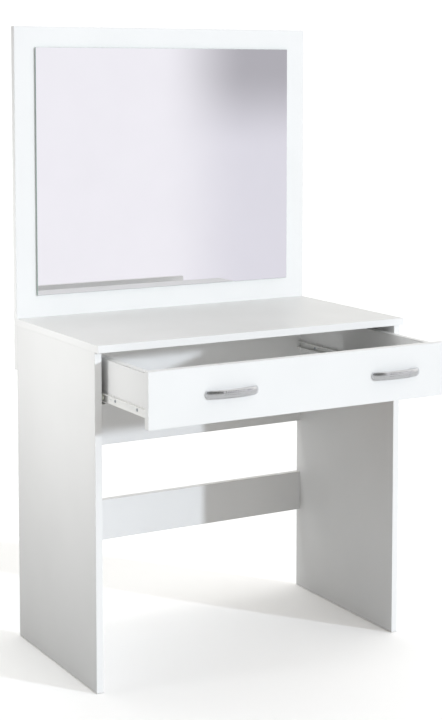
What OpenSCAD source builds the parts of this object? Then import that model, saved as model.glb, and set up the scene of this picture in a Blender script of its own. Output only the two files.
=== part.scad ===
// Vanity table with an upright mirror panel and one full-width drawer.
// Flat-pack furniture of faced chipboard: boards, edge bands, cam fittings, roller slides.
// +Z up, +Y to the back, +X to the right; the origin is the middle of the outline on the floor,
// with the drawer part-way open as it stands at rest. All sizes are in millimetres.

/* [Boards] */
// Thickness of every board
board_t = 16; // [13:0.1:20]
// Thickness of the edge bands
band_t = 1; // [0.6:0.2:2]

/* [Table] */
// Overall width
table_w = 785; // [640:1:960]
// Height of the tabletop's upper face
table_h = 752; // [626:0.5:960]
// Depth of the side panels
side_depth = 420; // [350:1:520]
// How far the tabletop stands out past the side panels, over the drawer front
top_overhang = 16; // [2:0.1:30]
// Thickness of the floor glides
glide_t = 1; // [0.8:0.1:4]

/* [Rails] */
// Height of the upper rear rail, which reaches up to the tabletop
upper_rail_h = 302; // [240:0.5:370]
// Height of the lower rear rail
lower_rail_h = 98; // [80:0.2:160]
// Height of the lower rear rail's bottom edge above the floor
lower_rail_z = 203; // [100:1:250]

/* [Mirror] */
// Height of the mirror panel's top edge above the tabletop
mirror_panel_rise = 674; // [560:0.5:820]
// How far the mirror panel reaches down behind the table, below the tabletop's upper face
mirror_panel_drop = 121; // [100:0.5:146]
// Width of the panel's border on each side of the glass
mirror_side_border = 51.5; // [20:0.1:80]
// Width of the panel's border above the glass
mirror_top_border = 48; // [20:0.5:80]
// Height of the glass's lower edge above the tabletop
mirror_sill = 51; // [20:0.5:80]
// Thickness of the glass
glass_t = 4; // [3:0.1:6]
// Thickness of the mounting tape
tape_t = 1; // [0.8:0.2:2]

/* [Drawer] */
// Height of the drawer front
drawer_front_h = 117; // [97:0.5:146]
// Gap between the drawer front and the tabletop
drawer_top_gap = 2; // [1:0.1:4]
// Gap left between the closed drawer front and the side panels' edges
drawer_front_gap = 1; // [0.5:0.1:3]
// How far the drawer stands open at rest
drawer_open = 228; // [60:1:280]
// Height of the drawer's side boards' lower edges above the drawer front's lower edge
drawer_side_rise = 11; // [6:0.5:16]
// How far the drawer's side boards stop below the drawer front's top edge
drawer_side_drop = 15; // [10:0.5:20]
// Gap between the closed drawer's rear end and the upper rear rail
drawer_rear_gap = 5; // [3:0.1:20]
// Height of the low batten that closes the drawer at the rear
drawer_back_h = 19; // [17.5:0.1:24]
// Thickness of the drawer's bottom sheet
bottom_t = 3; // [2.5:0.1:4]
// Height of the bottom sheet above the side boards' lower edges
bottom_rise = 10; // [8:0.5:14]
// Depth of the groove that holds the bottom sheet
groove_d = 5; // [4:0.5:7]

/* [Slides] */
// Gap between the carcass and the drawer box on each side
slide_gap = 12.5; // [10.4:0.1:15]
// Thickness of the slides' steel
slide_steel = 1.2; // [1:0.05:1.5]
// Height of the slide member on the drawer
drawer_member_h = 18; // [15:0.5:22]
// Diameter of the slide rollers
roller_d = 14; // [11.5:0.1:15]
// Width of the slide rollers
roller_w = 5.8; // [4.8:0.1:7]
// Diameter of the roller axles
axle_d = 5; // [4:0.1:6]
// Radial running clearance of a roller on its axle
roller_clear = 0.05; // [0.02:0.01:0.1]

/* [Handles] */
// Overall length of a handle
handle_len = 124; // [104:0.5:150]
// Distance between a handle's screws
handle_pitch = 96; // [64:1:115.5]
// Height of a handle's strap
handle_h = 17; // [14:0.1:21]
// How far a handle stands out from the drawer front
handle_rise = 20; // [16:0.1:30]
// Thickness of a handle's strap
handle_t = 5; // [4:0.1:6]
// Distance of each handle's middle from the drawer's middle
handle_offset = 203; // [120:1:280]

/* [Fittings] */
// Diameter of the cam fittings
cam_d = 15; // [12:0.5:18]
// Depth of the cam fittings in the board
cam_depth = 12.5; // [10.4:0.1:15]
// Distance of a cam's middle from the joint
cam_set = 34; // [28:0.1:41]
// Diameter of the wooden dowels
dowel_d = 8; // [6:0.1:10]
// Diameter of the connecting screws' shank
connector_d = 7; // [5:0.1:8.5]
// Length of the connecting screws
connector_len = 50; // [40:1:60]
// Diameter of the screws that hold the drawer's rear batten
batten_screw_d = 4; // [3:0.1:5]
// Clearance round every fitting in its hole
fit_clear = 0.05; // [0.02:0.01:0.2]

/* [Hidden] */
$fn = 48;
eps = 0.5;          // how far a cutting body runs past the face it opens

// Widths
half_w = table_w / 2;
inner_x = half_w - board_t;                 // inner faces of the side panels
box_x = inner_x - slide_gap;                // outer faces of the drawer box
box_inner_x = box_x - board_t;              // inner faces of the drawer box

// Depths: the rear plane is where the side panels end and the mirror panel begins
cap_t = 1;                                  // how far the screw caps stand out behind
depth_in_front = side_depth + drawer_front_gap + drawer_open + board_t + handle_rise;
rear_y = (depth_in_front - board_t - cap_t) / 2;
drawer_side_len = side_depth + drawer_front_gap - board_t - drawer_rear_gap;
front_y = rear_y - side_depth;              // front edges of the side panels
front_back_y = front_y - drawer_front_gap - drawer_open;   // rear face of the drawer front
face_y = front_back_y - board_t;            // front face of the drawer front
box_end_y = front_back_y + drawer_side_len; // rear ends of the drawer's side boards
batten_y = box_end_y - board_t;             // front face of the drawer's rear batten

// Heights
side_top = table_h - board_t;
drawer_front_top = side_top - drawer_top_gap;
drawer_front_z = drawer_front_top - drawer_front_h;
drawer_side_top = drawer_front_top - drawer_side_drop;
drawer_side_z = drawer_front_z + drawer_side_rise;
bottom_z = drawer_side_z + bottom_rise;
mirror_panel_z = table_h - mirror_panel_drop;
mirror_panel_top = table_h + mirror_panel_rise;
mirror_z = table_h + mirror_sill;
mirror_h = mirror_panel_top - mirror_top_border - mirror_z;
mirror_w = table_w - 2 * mirror_side_border;

// Slides, by height and by distance from the carcass wall
roller_r = roller_d / 2;
roller_play = 0.3;                          // between a roller and the track it runs on
leg_u = slide_gap - slide_steel;            // outer face of the drawer member
roller_u = leg_u - 1.9 - roller_w;          // side of a roller next to the carcass wall
run_z = drawer_side_z + drawer_member_h - slide_steel;     // underside of the running flange
track_z = drawer_side_z - 4.6;              // top of the channel's lower flange
slide_base_z = track_z - slide_steel;       // lowest point of the cabinet member
rear_roller_z = track_z + roller_play + roller_r;
front_roller_z = run_z - roller_play - roller_r;
channel_top_z = rear_roller_z + roller_r + 0.5;            // underside of the channel's upper flange
bracket_len = 24;
slide_setback = 2;                          // from the side panels' front edges
cabinet_member_len = drawer_side_len;
front_roller_y = front_y + slide_setback + 12;
rear_roller_y = box_end_y - 13;
groove_play = 0.3;                          // round the bottom sheet in its groove
slot_d = 4;
slide_screw_d = 3.5;
slide_screw_depth = board_t - groove_d - 1;                // clear of the groove in the drawer's sides
slide_screw_z = drawer_side_z + drawer_member_h / 2;
cabinet_screw_z = (track_z + channel_top_z) / 2;
drawer_holes = [87, 188, drawer_side_len - 82];            // from the drawer front
drawer_spare_slot = 207;
cabinet_holes = [60, 188, drawer_side_len - 68];           // from the member's front end

// Rails
upper_rail_z = side_top - upper_rail_h;

// Places of the joints' fittings
rail_mid_y = rear_y - board_t / 2;
side_mid_x = half_w - board_t / 2;
rail_dowel_inset = 16;
upper_cam_inset = 40;
upper_cam_z = [upper_rail_z + upper_cam_inset, side_top - upper_cam_inset];
upper_dowel_z = [upper_rail_z + rail_dowel_inset, side_top - rail_dowel_inset];
lower_cam_z = [lower_rail_z + lower_rail_h / 2];
lower_dowel_z = [lower_rail_z + rail_dowel_inset, lower_rail_z + lower_rail_h - rail_dowel_inset];
top_cam_inset = 60;
top_dowel_inset = 92;
top_cam_y = [front_y + top_cam_inset, rear_y - top_cam_inset];
top_dowel_y = [front_y + top_dowel_inset, rear_y - top_dowel_inset];
drawer_dowel_z = [bottom_z + bottom_t + 14, drawer_side_top - 20];
drawer_cam_z = (drawer_dowel_z[0] + drawer_dowel_z[1]) / 2;
drawer_side_mid_x = box_x - board_t / 2;
batten_top = drawer_side_z + drawer_back_h;
batten_screw_y = box_end_y - (board_t - groove_d - groove_play) / 2;   // clear of the sheet's groove
batten_screw_z = drawer_side_z + drawer_back_h / 2;
batten_screw_len = board_t + 22;
mirror_side_screw_z = [mirror_panel_z + 25, side_top - 30];
mirror_top_screw_x = [-half_w + 130, 0, half_w - 130];
handle_z = drawer_front_z + drawer_front_h / 2;
glide_d = board_t - 2;
glide_inset = 30;
glide_y = [front_y + glide_inset, rear_y - glide_inset];

// Depths of the holes on the two sides of a joint
bolt_hole_d = 5;
bolt_hole_depth = 11.5;
bolt_neck_d = 8;
dowel_short = 12;
dowel_long = 20;

white = [0.95, 0.96, 0.97];
band_white = [0.97, 0.98, 0.99];
steel = [0.72, 0.73, 0.75];
chrome = [0.78, 0.79, 0.80];
beech = [0.80, 0.66, 0.47];

// ---- Placing ----

module both() {
    children();
    mirror([1, 0, 0]) children();
}

// A box from its lowest to its highest corner
module block(low, high) {
    translate(low) cube(high - low);
}

// A joint's own frame: X along the bolt into the board that holds the cam, Z out of that board
module to_rail(z) {
    translate([-inner_x, rail_mid_y, z]) rotate([-90, 0, 0]) children();
}

module to_top(y) {
    translate([-side_mid_x, y, side_top]) rotate([0, 90, 0]) children();
}

module to_front(z) {
    translate([-drawer_side_mid_x, front_back_y, z]) rotate([90, 0, 90]) children();
}

module rail_cam_places() {
    for (z = concat(upper_cam_z, lower_cam_z)) to_rail(z) children();
}

module rail_dowel_places() {
    for (z = concat(upper_dowel_z, lower_dowel_z)) to_rail(z) children();
}

module mirror_screw_places() {
    both() for (z = mirror_side_screw_z) {
        translate([-side_mid_x, rear_y + board_t, z]) rotate([-90, 0, 0]) children();
    }
    for (x = mirror_top_screw_x) {
        translate([x, rear_y + board_t, table_h - board_t / 2]) rotate([-90, 0, 0]) children();
    }
}

module batten_screw_places() {
    both() translate([-box_x, batten_screw_y, batten_screw_z]) rotate([0, -90, 0]) children();
}

module handle_screw_places() {
    for (side = [-1, 1]) for (end = [-1, 1]) {
        translate([side * handle_offset + end * handle_pitch / 2, front_back_y, handle_z])
            rotate([-90, 0, 0]) children();
    }
}

module drawer_slide_screw_places() {
    for (d = drawer_holes) {
        translate([-(inner_x - leg_u), front_back_y + d, slide_screw_z])
            rotate([0, -90, 0]) children();
    }
}

module cabinet_slide_screw_places() {
    for (d = cabinet_holes) {
        translate([-(inner_x - slide_steel), front_y + slide_setback + d, cabinet_screw_z])
            rotate([0, 90, 0]) children();
    }
}

// ---- Fittings, each in its joint's frame ----

module cam() {
    face = board_t / 2;
    translate([cam_set, 0, face - cam_depth]) difference() {
        cylinder(d = cam_d - 2 * fit_clear, h = cam_depth);
        // pocket for the bolt's head
        translate([-cam_d, 0, cam_depth - face]) rotate([0, 90, 0]) cylinder(d = 7.2, h = cam_d + 3.6);
        // cross slot in the face
        for (a = [0, 90]) rotate([0, 0, a])
            translate([-4.5, -0.7, cam_depth - 1.8]) cube([9, 1.4, 1.8 + eps]);
    }
}

module cam_hole() {
    translate([cam_set, 0, board_t / 2 - cam_depth]) cylinder(d = cam_d, h = cam_depth + eps);
}

module cam_bolt() {
    rotate([0, 90, 0]) {
        translate([0, 0, -bolt_hole_depth + 0.5])
            cylinder(d = bolt_hole_d - 2 * fit_clear, h = bolt_hole_depth - 0.5);
        cylinder(d = 7, h = 2);
        cylinder(d = 4.4, h = cam_set);
        translate([0, 0, cam_set - 1]) cylinder(d = 6.6, h = 3.4);
    }
}

// The bolt's hole in the board it screws into, and in the board that holds the cam
module bolt_hole() {
    translate([-bolt_hole_depth, 0, 0]) rotate([0, 90, 0])
        cylinder(d = bolt_hole_d, h = bolt_hole_depth + eps);
}

module neck_hole() {
    translate([-eps, 0, 0]) rotate([0, 90, 0]) cylinder(d = bolt_neck_d, h = cam_set + 3);
}

module dowel() {
    translate([-dowel_short + 0.5, 0, 0]) rotate([0, 90, 0])
        cylinder(d = dowel_d - 2 * fit_clear, h = dowel_short + dowel_long - 1);
}

module dowel_hole() {
    translate([-dowel_short, 0, 0]) rotate([0, 90, 0])
        cylinder(d = dowel_d, h = dowel_short + dowel_long);
}

// A countersunk connecting screw, driven down from the face at z = 0
module connector_shape(grow) {
    head_d = connector_d + 3;
    translate([0, 0, -connector_len - grow]) cylinder(d = connector_d + 2 * grow, h = connector_len);
    translate([0, 0, -3 - grow])
        cylinder(d1 = connector_d + 2 * grow, d2 = head_d + 2 * grow, h = 3);
}

module connector() {
    difference() {
        connector_shape(0);
        translate([0, 0, -2.6]) cylinder(d = 4.6, h = 2.6 + eps, $fn = 6);
    }
}

module connector_hole() {
    connector_shape(fit_clear);
    translate([0, 0, -2 * fit_clear]) cylinder(d = connector_d + 3 + 2 * fit_clear, h = eps);
}

// A countersunk screw through the drawer's side into the batten, its head sunk below the face
module batten_screw_shape(grow) {
    sink = 0.2;
    translate([0, 0, -batten_screw_len - grow])
        cylinder(d = batten_screw_d + 2 * grow, h = batten_screw_len - sink);
    translate([0, 0, -2.4 - sink - grow])
        cylinder(d1 = batten_screw_d + 2 * grow, d2 = batten_screw_d + 3.6 + 2 * grow, h = 2.4);
}

module batten_screw() {
    difference() {
        batten_screw_shape(0);
        for (a = [0, 90]) rotate([0, 0, a]) translate([-1.8, -0.35, -1.6]) cube([3.6, 0.7, 2]);
    }
}

module batten_screw_hole() {
    batten_screw_shape(fit_clear);
    translate([0, 0, -0.3]) cylinder(d = batten_screw_d + 3.6 + 2 * fit_clear, h = 0.3 + eps);
}

module slide_screw() {
    difference() {
        union() {
            translate([0, 0, -slide_steel - slide_screw_depth])
                cylinder(d = slide_screw_d - 2 * fit_clear, h = slide_steel + slide_screw_depth);
            cylinder(d1 = 7, d2 = 5.4, h = 0.9);
        }
        for (a = [0, 90]) rotate([0, 0, a]) translate([-1.8, -0.35, 0.3]) cube([3.6, 0.7, 1]);
    }
}

module slide_screw_hole() {
    depth = slide_steel + slide_screw_depth + 0.3;
    translate([0, 0, -depth]) cylinder(d = slide_screw_d, h = depth + eps);
}

// ---- Boards ----

module left_side_board() {
    difference() {
        block([-half_w, front_y + band_t, glide_t], [-inner_x, rear_y - band_t, side_top]);
        rail_cam_places() bolt_hole();
        rail_dowel_places() dowel_hole();
        for (y = top_cam_y) to_top(y) {
            cam_hole();
            neck_hole();
        }
        for (y = top_dowel_y) to_top(y) dowel_hole();
        cabinet_slide_screw_places() slide_screw_hole();
        mirror_screw_places() connector_hole();
    }
}

module left_side_panel() {
    color(white) left_side_board();
}

module right_side_panel() {
    color(white) mirror([1, 0, 0]) left_side_board();
}

module side_panel_edging() {
    color(band_white) both() difference() {
        union() {
            block([-half_w, front_y, glide_t], [-inner_x, front_y + band_t, side_top]);
            block([-half_w, rear_y - band_t, glide_t], [-inner_x, rear_y, side_top]);
        }
        mirror_screw_places() connector_hole();
    }
}

module table_top() {
    color(white) difference() {
        block([-half_w + band_t, front_y - top_overhang + band_t, side_top],
              [half_w - band_t, rear_y, table_h]);
        both() {
            for (y = top_cam_y) to_top(y) bolt_hole();
            for (y = top_dowel_y) to_top(y) dowel_hole();
        }
        mirror_screw_places() connector_hole();
    }
}

module table_top_edging() {
    edge_y = front_y - top_overhang;
    color(band_white) difference() {
        block([-half_w, edge_y, side_top], [half_w, rear_y, table_h]);
        block([-half_w + band_t, edge_y + band_t, side_top - eps],
              [half_w - band_t, rear_y + eps, table_h + eps]);
    }
}

module rail_board(low_z, high_z) {
    difference() {
        block([-inner_x, rear_y - board_t, low_z], [inner_x, rear_y, high_z]);
        both() {
            rail_cam_places() {
                cam_hole();
                neck_hole();
            }
            rail_dowel_places() dowel_hole();
        }
    }
}

module upper_rear_rail() {
    color(white) rail_board(upper_rail_z + band_t, side_top);
}

module lower_rear_rail() {
    color(white) rail_board(lower_rail_z + band_t, lower_rail_z + lower_rail_h - band_t);
}

module rail_edging() {
    color(band_white) for (z = [upper_rail_z, lower_rail_z, lower_rail_z + lower_rail_h - band_t]) {
        block([-inner_x, rear_y - board_t, z], [inner_x, rear_y, z + band_t]);
    }
}

module mirror_panel() {
    color(white) difference() {
        block([-half_w + band_t, rear_y, mirror_panel_z + band_t],
              [half_w - band_t, rear_y + board_t, mirror_panel_top - band_t]);
        mirror_screw_places() connector_hole();
    }
}

module mirror_panel_edging() {
    color(band_white) difference() {
        block([-half_w, rear_y, mirror_panel_z], [half_w, rear_y + board_t, mirror_panel_top]);
        block([-half_w + band_t, rear_y - eps, mirror_panel_z + band_t],
              [half_w - band_t, rear_y + board_t + eps, mirror_panel_top - band_t]);
    }
}

// ---- Mirror ----

module mirror_glass() {
    back = rear_y - tape_t;
    color([0.80, 0.84, 0.88])
        block([-mirror_w / 2, back - glass_t, mirror_z], [mirror_w / 2, back, mirror_z + mirror_h]);
}

module mirror_tape() {
    tape_w = 25;
    tape_inset = 40;
    span = mirror_w / 2 - tape_inset - tape_w;
    color([0.85, 0.85, 0.82]) for (x = [-span, -span / 3, span / 3, span]) {
        block([x - tape_w / 2, rear_y - tape_t, mirror_z + tape_inset],
              [x + tape_w / 2, rear_y, mirror_z + mirror_h - tape_inset]);
    }
}

// ---- Carcass fittings ----

module mirror_panel_screws() {
    color(steel) mirror_screw_places() connector();
}

module screw_caps() {
    color(band_white) mirror_screw_places() rotate_extrude()
        polygon([[0, 0], [6.5, 0], [6, cap_t * 0.6], [5, cap_t], [0, cap_t]]);
}

module carcass_cams() {
    color(steel) both() {
        rail_cam_places() cam();
        for (y = top_cam_y) to_top(y) cam();
    }
}

module carcass_cam_bolts() {
    color(steel) both() {
        rail_cam_places() cam_bolt();
        for (y = top_cam_y) to_top(y) cam_bolt();
    }
}

module carcass_dowels() {
    color(beech) both() {
        rail_dowel_places() dowel();
        for (y = top_dowel_y) to_top(y) dowel();
    }
}

module floor_glides() {
    color(band_white) both() for (y = glide_y) {
        translate([-side_mid_x, y, 0]) rotate_extrude()
            polygon([[0, 0], [glide_d / 2 - 0.4, 0], [glide_d / 2, 0.4], [glide_d / 2, glide_t], [0, glide_t]]);
    }
}

// ---- Slides ----

// A plate of the left-hand slide, from u to u beyond the carcass wall, y to y and z to z
module slide_plate(u0, u1, y0, y1, z0, z1) {
    block([-inner_x + u0, y0, z0], [-inner_x + u1, y1, z1]);
}

module left_cabinet_member() {
    y0 = front_y + slide_setback;
    y1 = y0 + cabinet_member_len;
    lip_u = leg_u - 0.7;
    difference() {
        union() {
            slide_plate(0, slide_steel, y0, y1, slide_base_z, channel_top_z + slide_steel);
            slide_plate(0, slide_steel, y0, y0 + bracket_len, slide_base_z, run_z + slide_steel);
            slide_plate(0, lip_u, y0, y1, slide_base_z, track_z);
            slide_plate(lip_u - 0.8, lip_u, y0, y1, slide_base_z, track_z + 2.4);
            slide_plate(0, 8, y0 + bracket_len, y1, channel_top_z, channel_top_z + slide_steel);
        }
        cabinet_slide_screw_places() slide_screw_hole();
        translate([-inner_x - eps, front_roller_y, front_roller_z]) rotate([0, 90, 0])
            cylinder(d = axle_d, h = slide_steel + 2 * eps);
    }
}

module left_drawer_member() {
    y0 = front_back_y;
    y1 = box_end_y;
    difference() {
        union() {
            slide_plate(leg_u, slide_gap, y0, y1, drawer_side_z - slide_steel, run_z + slide_steel);
            slide_plate(leg_u, slide_gap + 12, y0, y1, drawer_side_z - slide_steel, drawer_side_z);
            slide_plate(leg_u - 7, slide_gap, y0, y1, run_z, run_z + slide_steel);
        }
        drawer_slide_screw_places() slide_screw_hole();
        // the spare slot, for adjusting the drawer lengthways
        translate([-inner_x + leg_u - eps, y0 + drawer_spare_slot, slide_screw_z]) rotate([0, 90, 0]) {
            for (shift = [-3, 3]) translate([0, shift, 0]) cylinder(d = slot_d, h = slide_steel + 2 * eps);
            translate([-slot_d / 2, -3, 0]) cube([slot_d, 6, slide_steel + 2 * eps]);
        }
        translate([-inner_x + leg_u - eps, rear_roller_y, rear_roller_z]) rotate([0, 90, 0])
            cylinder(d = axle_d, h = slide_steel + 2 * eps);
    }
}

module left_cabinet_slide() {
    color(band_white) left_cabinet_member();
}

module right_cabinet_slide() {
    color(band_white) mirror([1, 0, 0]) left_cabinet_member();
}

module left_drawer_slide() {
    color(band_white) left_drawer_member();
}

module right_drawer_slide() {
    color(band_white) mirror([1, 0, 0]) left_drawer_member();
}

module cabinet_slide_screws() {
    color(steel) both() cabinet_slide_screw_places() slide_screw();
}

module drawer_slide_screws() {
    color(steel) both() drawer_slide_screw_places() slide_screw();
}

// A rivet set in a slide member at u0, with a shoulder that spaces the roller and a head at u1
module axle(y, z, u0, u1, shoulder) {
    head_t = 0.5;
    toward = sign(u1 - u0);
    body = abs(u1 - u0);
    translate([-inner_x + u0, y, z]) rotate([0, 90 * toward, 0]) {
        cylinder(d = axle_d - 2 * fit_clear, h = body);
        translate([0, 0, slide_steel]) cylinder(d = axle_d + 2.4, h = shoulder);
        translate([0, 0, body - head_t]) cylinder(d = axle_d + 2.4, h = head_t);
    }
}

module front_roller_axles() {
    color(steel) both()
        axle(front_roller_y, front_roller_z, 0, leg_u - 1.3, roller_u - slide_steel - 0.1);
}

module rear_roller_axles() {
    color(steel) both()
        axle(rear_roller_y, rear_roller_z, slide_gap, roller_u - 0.9, leg_u - roller_u - roller_w - 0.1);
}

module left_roller(y, z) {
    rim = 0.6;
    bore_r = axle_d / 2 - fit_clear + roller_clear;
    translate([-inner_x + roller_u, y, z]) rotate([0, 90, 0]) rotate_extrude() polygon([
        [bore_r, 0], [roller_r - rim, 0], [roller_r, rim],
        [roller_r, roller_w - rim], [roller_r - rim, roller_w], [bore_r, roller_w]
    ]);
}

module front_left_roller() {
    color(white) left_roller(front_roller_y, front_roller_z);
}

module front_right_roller() {
    color(white) mirror([1, 0, 0]) left_roller(front_roller_y, front_roller_z);
}

module rear_left_roller() {
    color(white) left_roller(rear_roller_y, rear_roller_z);
}

module rear_right_roller() {
    color(white) mirror([1, 0, 0]) left_roller(rear_roller_y, rear_roller_z);
}

// ---- Drawer ----

// The bottom sheet, which rests on the groove's lower face, or grown, the groove itself
module bottom_sheet(grow) {
    reach = groove_d - groove_play + grow;
    block([-box_inner_x - reach, front_back_y - reach, bottom_z],
          [box_inner_x + reach, batten_y + reach, bottom_z + bottom_t + grow]);
}

module drawer_front() {
    color(white) difference() {
        block([-half_w + band_t, face_y, drawer_front_z + band_t],
              [half_w - band_t, front_back_y, drawer_front_top - band_t]);
        bottom_sheet(groove_play);
        both() {
            to_front(drawer_cam_z) bolt_hole();
            for (z = drawer_dowel_z) to_front(z) dowel_hole();
        }
        handle_screw_places() translate([0, 0, -board_t - eps])
            cylinder(d = 4.5, h = board_t + 2 * eps);
    }
}

module drawer_front_edging() {
    color(band_white) difference() {
        block([-half_w, face_y, drawer_front_z], [half_w, front_back_y, drawer_front_top]);
        block([-half_w + band_t, face_y - eps, drawer_front_z + band_t],
              [half_w - band_t, front_back_y + eps, drawer_front_top - band_t]);
    }
}

module drawer_left_board() {
    difference() {
        block([-box_x, front_back_y, drawer_side_z], [-box_inner_x, box_end_y, drawer_side_top - band_t]);
        bottom_sheet(groove_play);
        to_front(drawer_cam_z) {
            cam_hole();
            neck_hole();
        }
        for (z = drawer_dowel_z) to_front(z) dowel_hole();
        drawer_slide_screw_places() slide_screw_hole();
        batten_screw_places() batten_screw_hole();
    }
}

module drawer_left_side() {
    color(white) drawer_left_board();
}

module drawer_right_side() {
    color(white) mirror([1, 0, 0]) drawer_left_board();
}

module drawer_back() {
    color(white) difference() {
        block([-box_inner_x, batten_y, drawer_side_z], [box_inner_x, box_end_y, batten_top - band_t]);
        bottom_sheet(groove_play);
        batten_screw_places() batten_screw_hole();
    }
}

module drawer_box_edging() {
    z0 = drawer_side_top - band_t;
    color(band_white) {
        both() block([-box_x, front_back_y, z0], [-box_inner_x, box_end_y, drawer_side_top]);
        block([-box_inner_x, batten_y, batten_top - band_t], [box_inner_x, box_end_y, batten_top]);
    }
}

module drawer_bottom() {
    color([0.93, 0.93, 0.92]) bottom_sheet(0);
}

module drawer_cams() {
    color(steel) both() to_front(drawer_cam_z) cam();
}

module drawer_cam_bolts() {
    color(steel) both() to_front(drawer_cam_z) cam_bolt();
}

module drawer_dowels() {
    color(beech) both() for (z = drawer_dowel_z) to_front(z) dowel();
}

module drawer_back_screws() {
    color(steel) batten_screw_places() batten_screw();
}

// ---- Handles ----

// The bosses end inside the bow, and the screw holes inside the bosses
boss_depth = handle_rise * sqrt(1 - pow(handle_pitch / handle_len, 2)) - 4;
handle_hole_depth = boss_depth - 3;

// Half of an oval in plan, bulging to -Y, from its left end round to its right end
function bow(a, b) = [for (i = [0:24]) let (t = 180 + 7.5 * i) [a * cos(t), b * sin(t)]];

module rounded_plate(w, h, r) {
    square([w - 2 * r, h], center = true);
    square([w, h - 2 * r], center = true);
    for (x = [-1, 1]) for (y = [-1, 1]) {
        translate([x * (w / 2 - r), y * (h / 2 - r)]) circle(r = r);
    }
}

module handle(x) {
    a = handle_len / 2;
    outer = bow(a, handle_rise);
    inner = bow(a - handle_t - 1, handle_rise - handle_t);
    inner_back = [for (i = [len(inner) - 1:-1:0]) inner[i]];
    translate([x, face_y, handle_z]) difference() {
        union() {
            intersection() {
                linear_extrude(height = handle_h, center = true) polygon(concat(outer, inner_back));
                rotate([90, 0, 0]) linear_extrude(height = 3 * handle_rise, center = true)
                    rounded_plate(handle_len, handle_h, 5);
            }
            for (end = [-1, 1]) translate([end * handle_pitch / 2, 0, 0])
                rotate([90, 0, 0]) cylinder(d = 9, h = boss_depth);
        }
        for (end = [-1, 1]) translate([end * handle_pitch / 2, eps, 0])
            rotate([90, 0, 0]) cylinder(d = 4 + 2 * fit_clear, h = handle_hole_depth + eps);
    }
}

module left_handle() {
    color(chrome) handle(-handle_offset);
}

module right_handle() {
    color(chrome) handle(handle_offset);
}

module handle_screws() {
    color(steel) handle_screw_places() difference() {
        union() {
            translate([0, 0, -board_t - handle_hole_depth + 1]) cylinder(d = 4, h = board_t + handle_hole_depth - 1);
            cylinder(d1 = 8.4, d2 = 7, h = 2.2);
        }
        for (a = [0, 90]) rotate([0, 0, a]) translate([-2.2, -0.5, 1]) cube([4.4, 1, 2]);
    }
}

left_side_panel();
right_side_panel();
side_panel_edging();
table_top();
table_top_edging();
upper_rear_rail();
lower_rear_rail();
rail_edging();
mirror_panel();
mirror_panel_edging();
mirror_glass();
mirror_tape();
mirror_panel_screws();
screw_caps();
carcass_cams();
carcass_cam_bolts();
carcass_dowels();
floor_glides();
left_cabinet_slide();
right_cabinet_slide();
cabinet_slide_screws();
front_roller_axles();
drawer_front();
drawer_front_edging();
drawer_left_side();
drawer_right_side();
drawer_back();
drawer_box_edging();
drawer_bottom();
left_drawer_slide();
right_drawer_slide();
drawer_slide_screws();
rear_roller_axles();
drawer_cams();
drawer_cam_bolts();
drawer_dowels();
drawer_back_screws();
left_handle();
right_handle();
handle_screws();
front_left_roller();
front_right_roller();
rear_left_roller();
rear_right_roller();
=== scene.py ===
"""Looks for a white flat-pack vanity table with an upright mirror panel and one full-width drawer.

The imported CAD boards, slides and fittings are kept and dressed as what they are made of. The two
bow handles are built again here with their faceted middle. All lengths are in metres.
"""
import logging
import math
from dataclasses import dataclass, field
from enum import Enum
from typing import Any, Iterable, Mapping, Sequence

import bmesh
import bpy
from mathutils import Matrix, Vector


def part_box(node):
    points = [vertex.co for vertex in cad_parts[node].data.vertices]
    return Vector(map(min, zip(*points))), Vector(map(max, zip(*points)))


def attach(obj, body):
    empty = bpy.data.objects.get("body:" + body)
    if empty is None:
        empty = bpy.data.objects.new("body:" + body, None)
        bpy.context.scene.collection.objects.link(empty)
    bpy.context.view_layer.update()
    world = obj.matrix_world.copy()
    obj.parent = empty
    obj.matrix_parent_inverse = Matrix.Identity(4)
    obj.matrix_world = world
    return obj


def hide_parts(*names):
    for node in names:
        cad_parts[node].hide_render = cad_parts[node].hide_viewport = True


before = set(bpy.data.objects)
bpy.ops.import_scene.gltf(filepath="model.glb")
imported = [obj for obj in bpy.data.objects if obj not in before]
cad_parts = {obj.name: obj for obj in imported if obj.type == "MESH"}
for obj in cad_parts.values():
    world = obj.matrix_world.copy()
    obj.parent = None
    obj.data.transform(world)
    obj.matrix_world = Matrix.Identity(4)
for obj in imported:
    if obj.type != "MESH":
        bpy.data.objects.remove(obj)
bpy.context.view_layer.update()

log = logging.getLogger("vanity_table")

MM = 0.001
Colour = tuple[float, float, float, float]
Point = tuple[float, float, float]
Point2 = tuple[float, float]


# ---- Colour and node helpers ----

def srgb(code: str) -> Colour:
    """Turn an sRGB hex colour into the linear colour that a shader takes.

    Args:
        code: The colour as "#RRGGBB".

    Returns:
        Linear red, green, blue and an alpha of 1.
    """
    def linear(channel: float) -> float:
        """One channel, from sRGB to linear."""
        return channel / 12.92 if channel <= 0.04045 else ((channel + 0.055) / 1.055) ** 2.4

    parts = [int(code[i:i + 2], 16) / 255.0 for i in (1, 3, 5)]
    return (linear(parts[0]), linear(parts[1]), linear(parts[2]), 1.0)


def per_metre(size_mm: float) -> float:
    """The texture scale at which a pattern repeats about every size_mm millimetres."""
    return 1.0 / (size_mm * MM)


def add_node(tree: bpy.types.NodeTree, kind: str, inputs: Mapping[Any, Any] | None = None,
             **settings: Any) -> bpy.types.Node:
    """Add a node, set it up and wire it.

    Args:
        tree: The node tree it goes into.
        kind: Blender's type name of the node.
        inputs: Input name or index to a value, or to the output socket to link from.
        **settings: Properties of the node itself.

    Returns:
        The new node.
    """
    node = tree.nodes.new(kind)
    for name, value in settings.items():
        setattr(node, name, value)
    for key, value in (inputs or {}).items():
        if isinstance(value, bpy.types.NodeSocket):
            tree.links.new(value, node.inputs[key])
        else:
            node.inputs[key].default_value = value
    return node


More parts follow.
